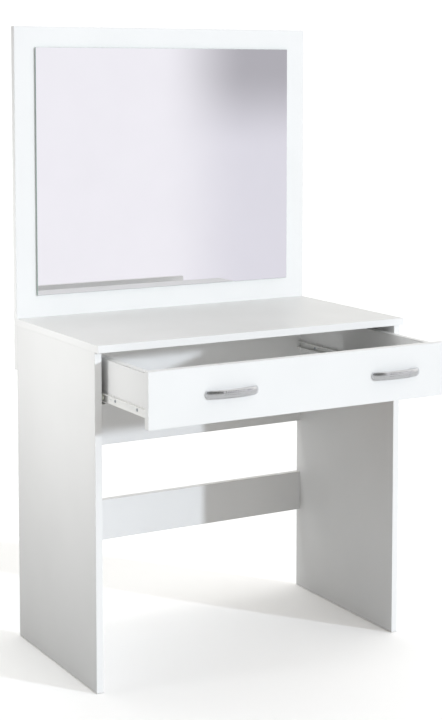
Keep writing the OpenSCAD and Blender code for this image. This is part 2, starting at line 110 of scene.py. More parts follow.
@dataclass
class Shader:
    """A material under construction, with the nodes that every finish starts from."""

    name: str
    material: bpy.types.Material = field(init=False)
    tree: bpy.types.NodeTree = field(init=False)
    surface: bpy.types.Node = field(init=False)
    place: bpy.types.NodeSocket = field(init=False)

    def __post_init__(self) -> None:
        """Make the material with one Principled surface and the object's own coordinates."""
        self.material = bpy.data.materials.new(self.name)
        self.material.use_nodes = True
        self.tree = self.material.node_tree
        self.tree.nodes.clear()
        self.surface = add_node(self.tree, "ShaderNodeBsdfPrincipled")
        add_node(self.tree, "ShaderNodeOutputMaterial", {"Surface": self.surface.outputs["BSDF"]})
        self.place = add_node(self.tree, "ShaderNodeTexCoord").outputs["Object"]

    def add(self, kind: str, inputs: Mapping[Any, Any] | None = None,
            **settings: Any) -> bpy.types.Node:
        """Add a node to this material; see add_node."""
        return add_node(self.tree, kind, inputs, **settings)

    def set(self, **values: Any) -> None:
        """Set or link the surface's sockets.

        Args:
            **values: Socket names with underscores for spaces, each a value or an output socket.
        """
        for name, value in values.items():
            socket = self.surface.inputs[name.replace("_", " ")]
            if isinstance(value, bpy.types.NodeSocket):
                self.tree.links.new(value, socket)
            else:
                socket.default_value = value

    def blend(self, share: Any, first: Any, second: Any) -> bpy.types.NodeSocket:
        """Mix two colours by a share and return the mixed colour's socket."""
        return self.add("ShaderNodeMix", {0: share, 6: first, 7: second},
                        data_type="RGBA").outputs[2]

    def spread(self, value: bpy.types.NodeSocket, low: float, high: float,
               start: float = 0.0, end: float = 1.0) -> bpy.types.NodeSocket:
        """Spread a pattern's values between start and end over low to high.

        Args:
            value: The pattern.
            low: The result at start.
            high: The result at end.
            start: The pattern's value that gives low.
            end: The pattern's value that gives high.

        Returns:
            The mapped value's socket.
        """
        return self.add("ShaderNodeMapRange", {"Value": value, "From Min": start, "From Max": end,
                                               "To Min": low, "To Max": high}).outputs["Result"]

    def relief(self, height: bpy.types.NodeSocket, depth_mm: float, strength: float) -> None:
        """Raise the surface by a pattern whose full height is depth_mm."""
        bump = self.add("ShaderNodeBump", {"Height": height, "Distance": depth_mm * MM,
                                           "Strength": strength})
        self.set(Normal=bump.outputs["Normal"])

    def facing(self, axis: "Axis", sign: int) -> bpy.types.NodeSocket:
        """A mask that is 1 on faces that look along the signed axis, and 0 elsewhere."""
        normal = self.add("ShaderNodeNewGeometry").outputs["True Normal"]
        parts = self.add("ShaderNodeSeparateXYZ", {0: normal})
        along = self.add("ShaderNodeMath", {0: parts.outputs[axis.value], 1: float(sign)},
                         operation="MULTIPLY").outputs[0]
        return self.add("ShaderNodeMath", {0: along, 1: 0.9}, operation="GREATER_THAN").outputs[0]


class Axis(Enum):
    """An axis of the row frame."""

    X = 0
    Y = 1
    Z = 2


class Side(Enum):
    """A side of the table, by the sign of its X."""

    LEFT = -1
    RIGHT = 1

    @property
    def word(self) -> str:
        """The side's name as node names have it."""
        return self.name.lower()


# ---- Finishes ----

@dataclass(frozen=True)
class MelamineBoard:
    """White melamine-faced chipboard.

    Printed paper pressed with resin on the board: satin, cool white, with a fine pearl texture
    from the press plate. Edges that carry no band show the pressed chips.
    """

    name: str = "melamine_faced_chipboard_white"
    bare_faces: tuple[tuple[Axis, int], ...] = ()
    face: str = "#E9E9E8"
    face_shade: str = "#E7E7E6"
    chip_light: str = "#C2A67C"
    chip_dark: str = "#8A6B46"
    pearl_mm: float = 1.6       # the real press texture is 0.4 mm, drawn coarser so that it shows
    cloud_mm: float = 160.0
    chip_mm: float = 2.6

    def build(self) -> bpy.types.Material:
        """Make the material."""
        shader = Shader(self.name)
        clouds = shader.add("ShaderNodeTexNoise", {"Vector": shader.place,
                                                   "Scale": per_metre(self.cloud_mm),
                                                   "Detail": 2.0}).outputs[0]
        pearl = shader.add("ShaderNodeTexNoise", {"Vector": shader.place,
                                                  "Scale": per_metre(self.pearl_mm),
                                                  "Detail": 3.0, "Roughness": 0.6}).outputs[0]
        colour = shader.blend(shader.spread(clouds, 0.0, 1.0, 0.35, 0.65),
                              srgb(self.face), srgb(self.face_shade))
        rough = shader.spread(clouds, 0.36, 0.41, 0.3, 0.7)
        if self.bare_faces:
            chips = shader.add("ShaderNodeTexVoronoi", {"Vector": shader.place,
                                                        "Scale": per_metre(self.chip_mm)})
            tone = shader.add("ShaderNodeSeparateColor", {0: chips.outputs["Color"]}).outputs[0]
            core = shader.blend(tone, srgb(self.chip_light), srgb(self.chip_dark))
            masks = [shader.facing(axis, sign) for axis, sign in self.bare_faces]
            bare = masks[0]
            for mask in masks[1:]:
                bare = shader.add("ShaderNodeMath", {0: bare, 1: mask},
                                  operation="MAXIMUM").outputs[0]
            colour = shader.blend(bare, colour, core)
            rough = shader.add("ShaderNodeMix", {0: bare, 2: rough, 3: 0.85},
                               data_type="FLOAT").outputs[0]
        shader.set(Base_Color=colour, Roughness=rough, IOR=1.52)
        shader.relief(pearl, 0.03, 0.25)
        return shader.material


@dataclass(frozen=True)
class EdgeBand:
    """White ABS edge band.

    Extruded, glued on hot, trimmed and buffed: a shade brighter and smoother than the board's
    face, with faint scraper lines across it.
    """

    name: str = "abs_edge_band_white"
    colour: str = "#EDEDEC"
    colour_shade: str = "#E9E9E8"
    scraper_mm: float = 3.0
    grit_mm: float = 1.2        # the buffed surface's grain is 0.2 mm, drawn coarser to show

    def build(self) -> bpy.types.Material:
        """Make the material."""
        shader = Shader(self.name)
        grit = shader.add("ShaderNodeTexNoise", {"Vector": shader.place,
                                                 "Scale": per_metre(self.grit_mm),
                                                 "Detail": 2.0}).outputs[0]
        lines = shader.add("ShaderNodeTexWave", {"Vector": shader.place,
                                                 "Scale": per_metre(self.scraper_mm) / 20.0,
                                                 "Distortion": 1.5, "Detail": 2.0},
                           bands_direction="DIAGONAL").outputs[1]
        shader.set(Base_Color=shader.blend(grit, srgb(self.colour), srgb(self.colour_shade)),
                   Roughness=shader.spread(lines, 0.30, 0.40), IOR=1.53)
        shader.relief(grit, 0.02, 0.2)
        return shader.material


@dataclass(frozen=True)
class Hardboard:
    """High-density fibreboard sheet, white lacquer rolled on its upper face, bare fibre below."""

    name: str = "hardboard_white_lacquered"
    lacquer: str = "#E6E6E6"
    fibre: str = "#8F6F4C"
    fibre_dark: str = "#6E5236"
    roller_mm: float = 2.4
    fibre_mm: float = 4.0

    def build(self) -> bpy.types.Material:
        """Make the material."""
        shader = Shader(self.name)
        stipple = shader.add("ShaderNodeTexNoise", {"Vector": shader.place,
                                                    "Scale": per_metre(self.roller_mm),
                                                    "Detail": 2.0}).outputs[0]
        fibres = shader.add("ShaderNodeTexNoise", {"Vector": shader.place,
                                                   "Scale": per_metre(self.fibre_mm),
                                                   "Detail": 6.0, "Roughness": 0.7}).outputs[0]
        bare = shader.blend(shader.spread(fibres, 0.0, 1.0, 0.35, 0.65),
                            srgb(self.fibre), srgb(self.fibre_dark))
        top = shader.facing(Axis.Z, 1)
        rough = shader.add("ShaderNodeMix", {0: top, 2: 0.8, 3: 0.42}, data_type="FLOAT")
        shader.set(Base_Color=shader.blend(top, bare, srgb(self.lacquer)),
                   Roughness=rough.outputs[0], IOR=1.5)
        shader.relief(stipple, 0.05, 0.3)
        return shader.material


@dataclass(frozen=True)
class SilveredGlass:
    """Silvered float glass.

    The silver behind 4 mm of clear glass gives a bright, faintly cool reflection. The ground
    edges are sea green and dull, and the back carries grey protective paint.
    """

    name: str = "silvered_float_glass"
    silver: str = "#F5F5F8"
    silver_hazed: str = "#F1F1F4"       # cleaning leaves faint clouds
    edge: str = "#A9C4BA"
    back: str = "#74797B"
    haze_mm: float = 90.0

    def build(self) -> bpy.types.Material:
        """Make the material."""
        shader = Shader(self.name)
        front = shader.facing(Axis.Y, -1)
        rear = shader.facing(Axis.Y, 1)
        haze = shader.add("ShaderNodeTexNoise", {"Vector": shader.place,
                                                 "Scale": per_metre(self.haze_mm),
                                                 "Detail": 3.0}).outputs[0]
        sides = shader.blend(rear, srgb(self.edge), srgb(self.back))
        bright = shader.blend(haze, srgb(self.silver), srgb(self.silver_hazed))
        dull = shader.add("ShaderNodeMix", {0: front, 2: 0.35, 3: 0.0},
                          data_type="FLOAT").outputs[0]
        shader.set(Base_Color=shader.blend(front, sides, bright), Metallic=front,
                   Roughness=dull)
        return shader.material


@dataclass(frozen=True)
class FoamTape:
    """Double-sided polyethylene foam tape: pale grey, dull, with closed cells."""

    name: str = "polyethylene_foam_tape"
    colour: str = "#D4D4CF"
    colour_shade: str = "#BFBFBA"
    cell_mm: float = 0.9

    def build(self) -> bpy.types.Material:
        """Make the material."""
        shader = Shader(self.name)
        cells = shader.add("ShaderNodeTexVoronoi", {"Vector": shader.place,
                                                    "Scale": per_metre(self.cell_mm)}).outputs[0]
        shader.set(Base_Color=shader.blend(cells, srgb(self.colour), srgb(self.colour_shade)),
                   Roughness=0.9)
        shader.relief(cells, 0.2, 0.5)
        return shader.material


@dataclass(frozen=True)
class ZincPlate:
    """Zinc-plated steel: screws, bolts and rivets. Bright, slightly blue, with a fine grain."""

    name: str = "zinc_plated_steel"
    colour: str = "#C4C8CE"
    colour_shade: str = "#A9AEB4"
    grain_mm: float = 0.8

    def build(self) -> bpy.types.Material:
        """Make the material."""
        shader = Shader(self.name)
        grain = shader.add("ShaderNodeTexNoise", {"Vector": shader.place,
                                                  "Scale": per_metre(self.grain_mm),
                                                  "Detail": 4.0}).outputs[0]
        shader.set(Base_Color=shader.blend(grain, srgb(self.colour), srgb(self.colour_shade)),
                   Metallic=1.0, Roughness=shader.spread(grain, 0.26, 0.42))
        shader.relief(grain, 0.02, 0.3)
        return shader.material


@dataclass(frozen=True)
class DieCastZinc:
    """Bare die-cast zinc alloy: the cam fittings. Dull grey, softly pitted from the die."""

    name: str = "die_cast_zinc"
    colour: str = "#A6A9AC"
    colour_shade: str = "#8C8F93"
    pit_mm: float = 1.0

    def build(self) -> bpy.types.Material:
        """Make the material."""
        shader = Shader(self.name)
        pits = shader.add("ShaderNodeTexNoise", {"Vector": shader.place,
                                                 "Scale": per_metre(self.pit_mm),
                                                 "Detail": 3.0, "Roughness": 0.7}).outputs[0]
        shader.set(Base_Color=shader.blend(pits, srgb(self.colour), srgb(self.colour_shade)),
                   Metallic=1.0, Roughness=shader.spread(pits, 0.45, 0.65))
        shader.relief(pits, 0.06, 0.5)
        return shader.material


@dataclass(frozen=True)
class Beech:
    """Steamed beech dowel, turned and fluted: pinkish tan with short dark flecks."""

    name: str = "beech_dowel"
    colour: str = "#CFA77C"
    fleck: str = "#A97C50"
    fleck_mm: float = 1.5

    def build(self) -> bpy.types.Material:
        """Make the material."""
        shader = Shader(self.name)
        stretched = shader.add("ShaderNodeMapping", {"Vector": shader.place,
                                                     "Scale": (0.25, 0.25, 1.0)}).outputs[0]
        flecks = shader.add("ShaderNodeTexNoise", {"Vector": stretched,
                                                   "Scale": per_metre(self.fleck_mm),
                                                   "Detail": 4.0}).outputs[0]
        shader.set(Base_Color=shader.blend(shader.spread(flecks, 0.0, 1.0, 0.4, 0.6),
                                           srgb(self.colour), srgb(self.fleck)),
                   Roughness=0.7)
        shader.relief(flecks, 0.1, 0.4)
        return shader.material


@dataclass(frozen=True)
class PowderCoat:
    """White epoxy powder on pressed steel: the slides. Glossy, with an orange-peel skin."""

    name: str = "epoxy_powder_coat_white"
    colour: str = "#F0F0EE"
    colour_shade: str = "#E6E6E3"
    peel_mm: float = 2.0

    def build(self) -> bpy.types.Material:
        """Make the material."""
        shader = Shader(self.name)
        peel = shader.add("ShaderNodeTexNoise", {"Vector": shader.place,
                                                 "Scale": per_metre(self.peel_mm),
                                                 "Detail": 1.0}).outputs[0]
        shader.set(Base_Color=shader.blend(peel, srgb(self.colour), srgb(self.colour_shade)),
                   Roughness=shader.spread(peel, 0.26, 0.34), IOR=1.55)
        shader.relief(peel, 0.05, 0.35)
        return shader.material


@dataclass(frozen=True)
class MouldedPlastic:
    """Injection-moulded plastic, lightly textured by its mould."""

    name: str
    colour: str
    colour_shade: str
    roughness: float
    translucency: float = 0.0
    spark_mm: float = 0.9       # the spark-eroded mould texture is 0.1 mm, drawn coarser to show

    def build(self) -> bpy.types.Material:
        """Make the material."""
        shader = Shader(self.name)
        sparks = shader.add("ShaderNodeTexNoise", {"Vector": shader.place,
                                                   "Scale": per_metre(self.spark_mm),
                                                   "Detail": 2.0}).outputs[0]
        shader.set(Base_Color=shader.blend(sparks, srgb(self.colour), srgb(self.colour_shade)),
                   Roughness=shader.spread(sparks, self.roughness - 0.05, self.roughness + 0.05),
                   Subsurface_Weight=self.translucency, IOR=1.53)
        shader.relief(sparks, 0.03, 0.3)
        return shader.material


@dataclass(frozen=True)
class SatinChrome:
    """Chrome plate on die-cast zinc, brushed to a satin before plating.

    Soft, stretched reflections that run from near black to white, with fine brushing lines along
    the strap.
    """

    name: str = "satin_chrome_on_zinc"
    colour: str = "#E0E1E3"
    colour_shade: str = "#D2D3D6"
    brush_mm: float = 1.1       # the brushing lines are 0.1 mm apart, drawn coarser to show
    roughness: float = 0.24

    def build(self) -> bpy.types.Material:
        """Make the material."""
        shader = Shader(self.name)
        stretched = shader.add("ShaderNodeMapping", {"Vector": shader.place,
                                                     "Scale": (0.08, 0.08, 1.0)}).outputs[0]
        brushing = shader.add("ShaderNodeTexNoise", {"Vector": stretched,
                                                     "Scale": per_metre(self.brush_mm),
                                                     "Detail": 3.0}).outputs[0]
        shader.set(Base_Color=shader.blend(brushing, srgb(self.colour), srgb(self.colour_shade)),
                   Metallic=1.0,
                   Roughness=shader.spread(brushing, self.roughness - 0.04,
                                           self.roughness + 0.06))
        shader.relief(brushing, 0.01, 0.3)
        return shader.material


# ---- Dressing of the CAD nodes ----

@dataclass(frozen=True)
class EdgeSizes:
    """How far each kind of piece has its sharp edges eased, in millimetres."""

    board: float = 0.15
    band: float = 0.5
    sheet: float = 0.2
    glass: float = 0.7
    tape: float = 0.1
    metal: float = 0.15
    casting: float = 0.3
    pressing: float = 0.3
    dowel: float = 0.4
    plastic: float = 0.15
    roller: float = 0.3
    weld: float = 0.002         # vertices this close are one
    least_angle: float = 40.0   # degrees between faces from which an edge is sharp


EDGE = EdgeSizes()


@dataclass
class Workshop:
    """Keeps each finish's one material and dresses nodes and pieces with it."""

    made: dict[str, bpy.types.Material] = field(default_factory=dict)

    def material(self, finish: Any) -> bpy.types.Material:
        """The finish's material, made on first use."""
        if finish.name not in self.made:
            self.made[finish.name] = finish.build()
        return self.made[finish.name]

    def dress(self, piece: bpy.types.Object, finish: Any) -> None:
        """Give every material slot of a piece the same finish.

        Args:
            piece: The object to dress.
            finish: The finish to give it.
        """
        material = self.material(finish)
        if not piece.data.materials:
            piece.data.materials.append(material)
        for place in piece.material_slots:
            place.material = material

    def dress_nodes(self, names: Iterable[str], finish: Any, edge_mm: float) -> None:
        """Dress CAD nodes and ease their edges as a machine or a die leaves them.

        Args:
            names: The nodes.
            finish: Their common finish.
            edge_mm: How far each sharp edge is eased.
        """
        for name in names:
            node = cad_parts[name]
            self.dress(node, finish)
            ease_edges(node, edge_mm)
            log.info("dressed %s in %s", name, finish.name)


def ease_edges(piece: bpy.types.Object, edge_mm: float) -> None:
    """Round a piece's sharp edges with modifiers, and leave its mesh as it is.

    Args:
        piece: The object.
        edge_mm: The width of the rounding.
    """
    weld = piece.modifiers.new("weld", "WELD")
    weld.merge_threshold = EDGE.weld * MM
    bevel = piece.modifiers.new("eased_edges", "BEVEL")
    bevel.width = edge_mm * MM
    bevel.segments = 2
    bevel.limit_method = "ANGLE"
    bevel.angle_limit = math.radians(EDGE.least_angle)
    bevel.harden_normals = True


# ---- Table ----

@dataclass
class Table:
    """The carcass: side panels, top, rails, mirror panel and what joins them."""

    workshop: Workshop

    def build_boards(self) -> None:
        """Dress the faced boards and their bands."""
        self.workshop.dress_nodes(
            ("left_side_panel", "right_side_panel"),
            MelamineBoard("melamine_side_panel", bare_faces=((Axis.Z, -1),)), EDGE.board)
        self.workshop.dress_nodes(
            ("upper_rear_rail", "lower_rear_rail"),
            MelamineBoard("melamine_rail", bare_faces=((Axis.Z, 1), (Axis.Z, -1))),
            EDGE.board)
        self.workshop.dress_nodes(("table_top", "mirror_panel"), MelamineBoard(),
                                  EDGE.board)
        self.workshop.dress_nodes(
            ("side_panel_edging", "table_top_edging", "rail_edging", "mirror_panel_edging"),
            EdgeBand(), EDGE.band)

    def build_mirror(self) -> None:
        """Dress the glass and the tape that holds it."""
        self.workshop.dress_nodes(("mirror_glass",), SilveredGlass(), EDGE.glass)
        self.workshop.dress_nodes(("mirror_tape",), FoamTape(), EDGE.tape)

    def build_fittings(self) -> None:
        """Dress the screws, cams, dowels, caps and glides."""
        self.workshop.dress_nodes(
            ("mirror_panel_screws", "carcass_cam_bolts", "cabinet_slide_screws",
             "front_roller_axles"), ZincPlate(), EDGE.metal)
        self.workshop.dress_nodes(("carcass_cams",), DieCastZinc(), EDGE.casting)
        self.workshop.dress_nodes(("carcass_dowels",), Beech(), EDGE.dowel)
        self.workshop.dress_nodes(
            ("screw_caps", "floor_glides"),
            MouldedPlastic("polyethylene_white", "#EDEEEF", "#E4E5E6", 0.45), EDGE.plastic)

    def build_slides(self) -> None:
        """Dress the two cabinet members and the rollers that turn on them."""
        self.workshop.dress_nodes(("left_cabinet_slide", "right_cabinet_slide"), PowderCoat(),
                                  EDGE.pressing)
        self.workshop.dress_nodes(("front_left_roller", "front_right_roller"),
                                  natural_nylon(), EDGE.roller)

    def build(self) -> None:
        """Dress the whole carcass."""
        self.build_boards()
        self.build_mirror()
        self.build_fittings()
        self.build_slides()


def natural_nylon() -> MouldedPlastic:
    """The rollers' finish: unpigmented nylon, milky and waxy."""
    return MouldedPlastic("nylon_natural", "#E2E0D6", "#D6D3C6", 0.3, translucency=0.15)


# ---- Drawer ----

@dataclass
class Drawer:
    """The sliding drawer: front, box, bottom, slides and fittings."""

    workshop: Workshop

    def build(self) -> None:
        """Dress the drawer's nodes."""
        self.workshop.dress_nodes(("drawer_front",), MelamineBoard(), EDGE.board)
        self.workshop.dress_nodes(
            ("drawer_left_side", "drawer_right_side"),
            MelamineBoard("melamine_drawer_side", bare_faces=((Axis.Z, -1),)),
            EDGE.board)
        self.workshop.dress_nodes(
            ("drawer_back",),
            MelamineBoard("melamine_drawer_back",
                          bare_faces=((Axis.Z, -1), (Axis.X, 1), (Axis.X, -1))),
            EDGE.board)
        self.workshop.dress_nodes(("drawer_front_edging", "drawer_box_edging"), EdgeBand(),
                                  EDGE.band)
        self.workshop.dress_nodes(("drawer_bottom",), Hardboard(), EDGE.sheet)
        self.workshop.dress_nodes(("left_drawer_slide", "right_drawer_slide"), PowderCoat(),
                                  EDGE.pressing)
        self.workshop.dress_nodes(
            ("drawer_slide_screws", "drawer_cam_bolts", "drawer_back_screws",
             "rear_roller_axles", "handle_screws"), ZincPlate(), EDGE.metal)
        self.workshop.dress_nodes(("drawer_cams",), DieCastZinc(), EDGE.casting)
        self.workshop.dress_nodes(("drawer_dowels",), Beech(), EDGE.dowel)
        self.workshop.dress_nodes(("rear_left_roller", "rear_right_roller"),
                                  natural_nylon(), EDGE.roller)


# ---- Handles ----

@dataclass
class BowHandle:
    """One cast bow handle: a crowned strap on two bosses, its middle cut into small facets."""

    workshop: Workshop
    side: Side
    half_length: float = 62.0 * MM
    rise: float = 20.0 * MM
    height: float = 18.0 * MM
    lift: float = 0.8 * MM
    thickness: float = 5.0 * MM
    crown: float = 2.2 * MM             # how far the outer face bulges at mid height
    crown_power: float = 2.2            # flat in the middle, falling fast near the edges
    edge_round: float = 1.6 * MM
    outer_edge: tuple[float, float] = (0.8, 0.6)    # level where the rounding starts, share
    inner_edge: tuple[float, float] = (0.75, 0.5)
    end_narrowing: float = 0.16         # the strap is this much lower at its ends
    end_start: float = 0.86
    half_pitch: float = 48.0 * MM
    boss_radius: float = 4.5 * MM
    boss_top_radius: float = 5.6 * MM
    facet_half_length: float = 27.0 * MM
    facet_columns: int = 14
    facet_rows: int = 4
    facet_depth: float = 1.0 * MM
    facet_power: float = 1.5
    facet_level: float = 0.92           # the facets stop short of the strap's edges
    boss_profile: tuple[Point2, ...] = ((1.12, 0.0), (1.0, 0.15), (0.94, 0.5), (1.0, 0.8))
    boss_sides: int = 24
    boss_sink: float = 0.6              # how far a boss runs into the strap, as a share
    steps_along: int = 260
    steps_round: int = 20

    def bow(self, angle: float, inset: float) -> tuple[float, float]:
        """A point on the bow's plan, inset from its outer face.

        Args:
            angle: 0 at the left end, pi at the right end.
            inset: Distance in from the outer face.

        Returns:
            X from the handle's middle, and the distance out from the drawer front.
        """
        reach = self.half_length - inset * 1.2
        return (-reach * math.cos(angle), (self.rise - inset) * math.sin(angle))

    def section(self, share: float) -> list[tuple[float, float]]:
        """The strap's section, as insets from the outer face and heights.

        Args:
            share: The strap's height here, as a share of its full height.

        Returns:
            The closed outline's points, outer face first, from its lower to its upper edge.
        """
        half = self.height / 2.0 * share
        outline: list[tuple[float, float]] = []
        for i in range(self.steps_round + 1):
            level = -1.0 + 2.0 * i / self.steps_round
            drop = self.crown * (abs(level) ** self.crown_power)
            corner = self.past(level, self.outer_edge[0])
            outline.append((drop + self.edge_round * corner ** 2 * self.outer_edge[1],
                            half * level))
        for i in range(self.steps_round + 1):
            level = 1.0 - 2.0 * i / self.steps_round
            corner = self.past(level, self.inner_edge[0])
            outline.append((self.thickness - self.edge_round * corner ** 2 * self.inner_edge[1],
                            half * level * (1.0 - 0.02 * corner)))
        return outline

    @staticmethod
    def past(level: float, start: float) -> float:
        """How far a level is past start, towards 1, as a share."""
        return max(0.0, abs(level) - start) / (1.0 - start)

    def facet_drop(self, along: float, level: float) -> float:
        """How deep the surface lies below the strap's face in the faceted middle.

        Args:
            along: X from the handle's middle.
            level: Height on the face, from -1 to 1.

        Returns:
            The depth, 0 outside the faceted middle.
        """
        if abs(along) > self.facet_half_length or abs(level) > self.facet_level:
            return 0.0
        column = (along / self.facet_half_length + 1.0) / 2.0 * self.facet_columns
        row = (level / self.facet_level + 1.0) / 2.0 * self.facet_rows
        across = abs(column - math.floor(column) - 0.5) * 2.0
        up = abs(row - math.floor(row) - 0.5) * 2.0
        return self.facet_depth * max(across, up) ** self.facet_power

    def strap_mesh(self, origin: Vector) -> bmesh.types.BMesh:
        """Loft the strap along the bow.

        Args:
            origin: The middle of the handle's foot, on the drawer front's face.

        Returns:
            The strap, closed at both ends.
        """
        mesh = bmesh.new()
        rings: list[list[bmesh.types.BMVert]] = []
        for i in range(self.steps_along + 1):
            angle = math.pi * i / self.steps_along
            share = 1.0 - self.end_narrowing * self.past(math.cos(angle), self.end_start)
            ring: list[bmesh.types.BMVert] = []
            outline = self.section(share)
            for k, (inset, up) in enumerate(outline):
                x, out = self.bow(angle, inset)
                if k <= self.steps_round:
                    level = -1.0 + 2.0 * k / self.steps_round
                    x, out = self.bow(angle, inset + self.facet_drop(x, level))
                ring.append(mesh.verts.new(origin + Vector((x, -max(out, 0.0), up))))
            rings.append(ring)
        count = len(rings[0])
        for first, second in zip(rings, rings[1:]):
            for k in range(count):
                after = (k + 1) % count
                mesh.faces.new((first[k], second[k], second[after], first[after]))
        mesh.faces.new(rings[0])
        mesh.faces.new(list(reversed(rings[-1])))
        return mesh

    def add_boss(self, mesh: bmesh.types.BMesh, centre: Vector, length: float) -> None:
        """Turn one boss between the drawer front and the strap.

        Args:
            mesh: The mesh it is added to.
            centre: The middle of its foot.
            length: How far it reaches out.
        """
        profile = [(self.boss_radius * width, share) for width, share in self.boss_profile]
        profile.append((self.boss_top_radius, 1.0))
        around = self.boss_sides
        rings: list[list[bmesh.types.BMVert]] = []
        for radius, share in profile:
            ring = [mesh.verts.new(centre + Vector((radius * math.cos(a), -length * share,
                                                    radius * math.sin(a))))
                    for a in (math.tau * i / around for i in range(around))]
            rings.append(ring)
        for first, second in zip(rings, rings[1:]):
            for k in range(around):
                after = (k + 1) % around
                mesh.faces.new((first[k], first[after], second[after], second[k]))
        mesh.faces.new(list(reversed(rings[0])))
        mesh.faces.new(rings[-1])

    def build(self) -> None:
        """Build the handle on its CAD node's place, and dress it."""
        name = f"{self.side.word}_handle"
        low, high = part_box(name)
        origin = Vector(((low.x + high.x) / 2.0, high.y, (low.z + high.z) / 2.0 + self.lift))
        mesh = self.strap_mesh(origin)
        for end in (-1, 1):
            out = self.rise * math.sqrt(1.0 - (self.half_pitch / self.half_length) ** 2)
            self.add_boss(mesh, origin + Vector((end * self.half_pitch, 0.0, 0.0)),
                          out - self.thickness * self.boss_sink)
        bmesh.ops.recalc_face_normals(mesh, faces=mesh.faces)
        for face in mesh.faces:
            face.smooth = True
        data = bpy.data.meshes.new(f"{name}_cast")
        mesh.to_mesh(data)
        mesh.free()
        piece = bpy.data.objects.new(f"{name}_cast", data)
        bpy.context.scene.collection.objects.link(piece)
        self.workshop.dress(piece, SatinChrome())
        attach(piece, "drawer")
        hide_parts(name)
        log.info("built %s: %d faces", piece.name, len(data.polygons))


# ---- Studio ----

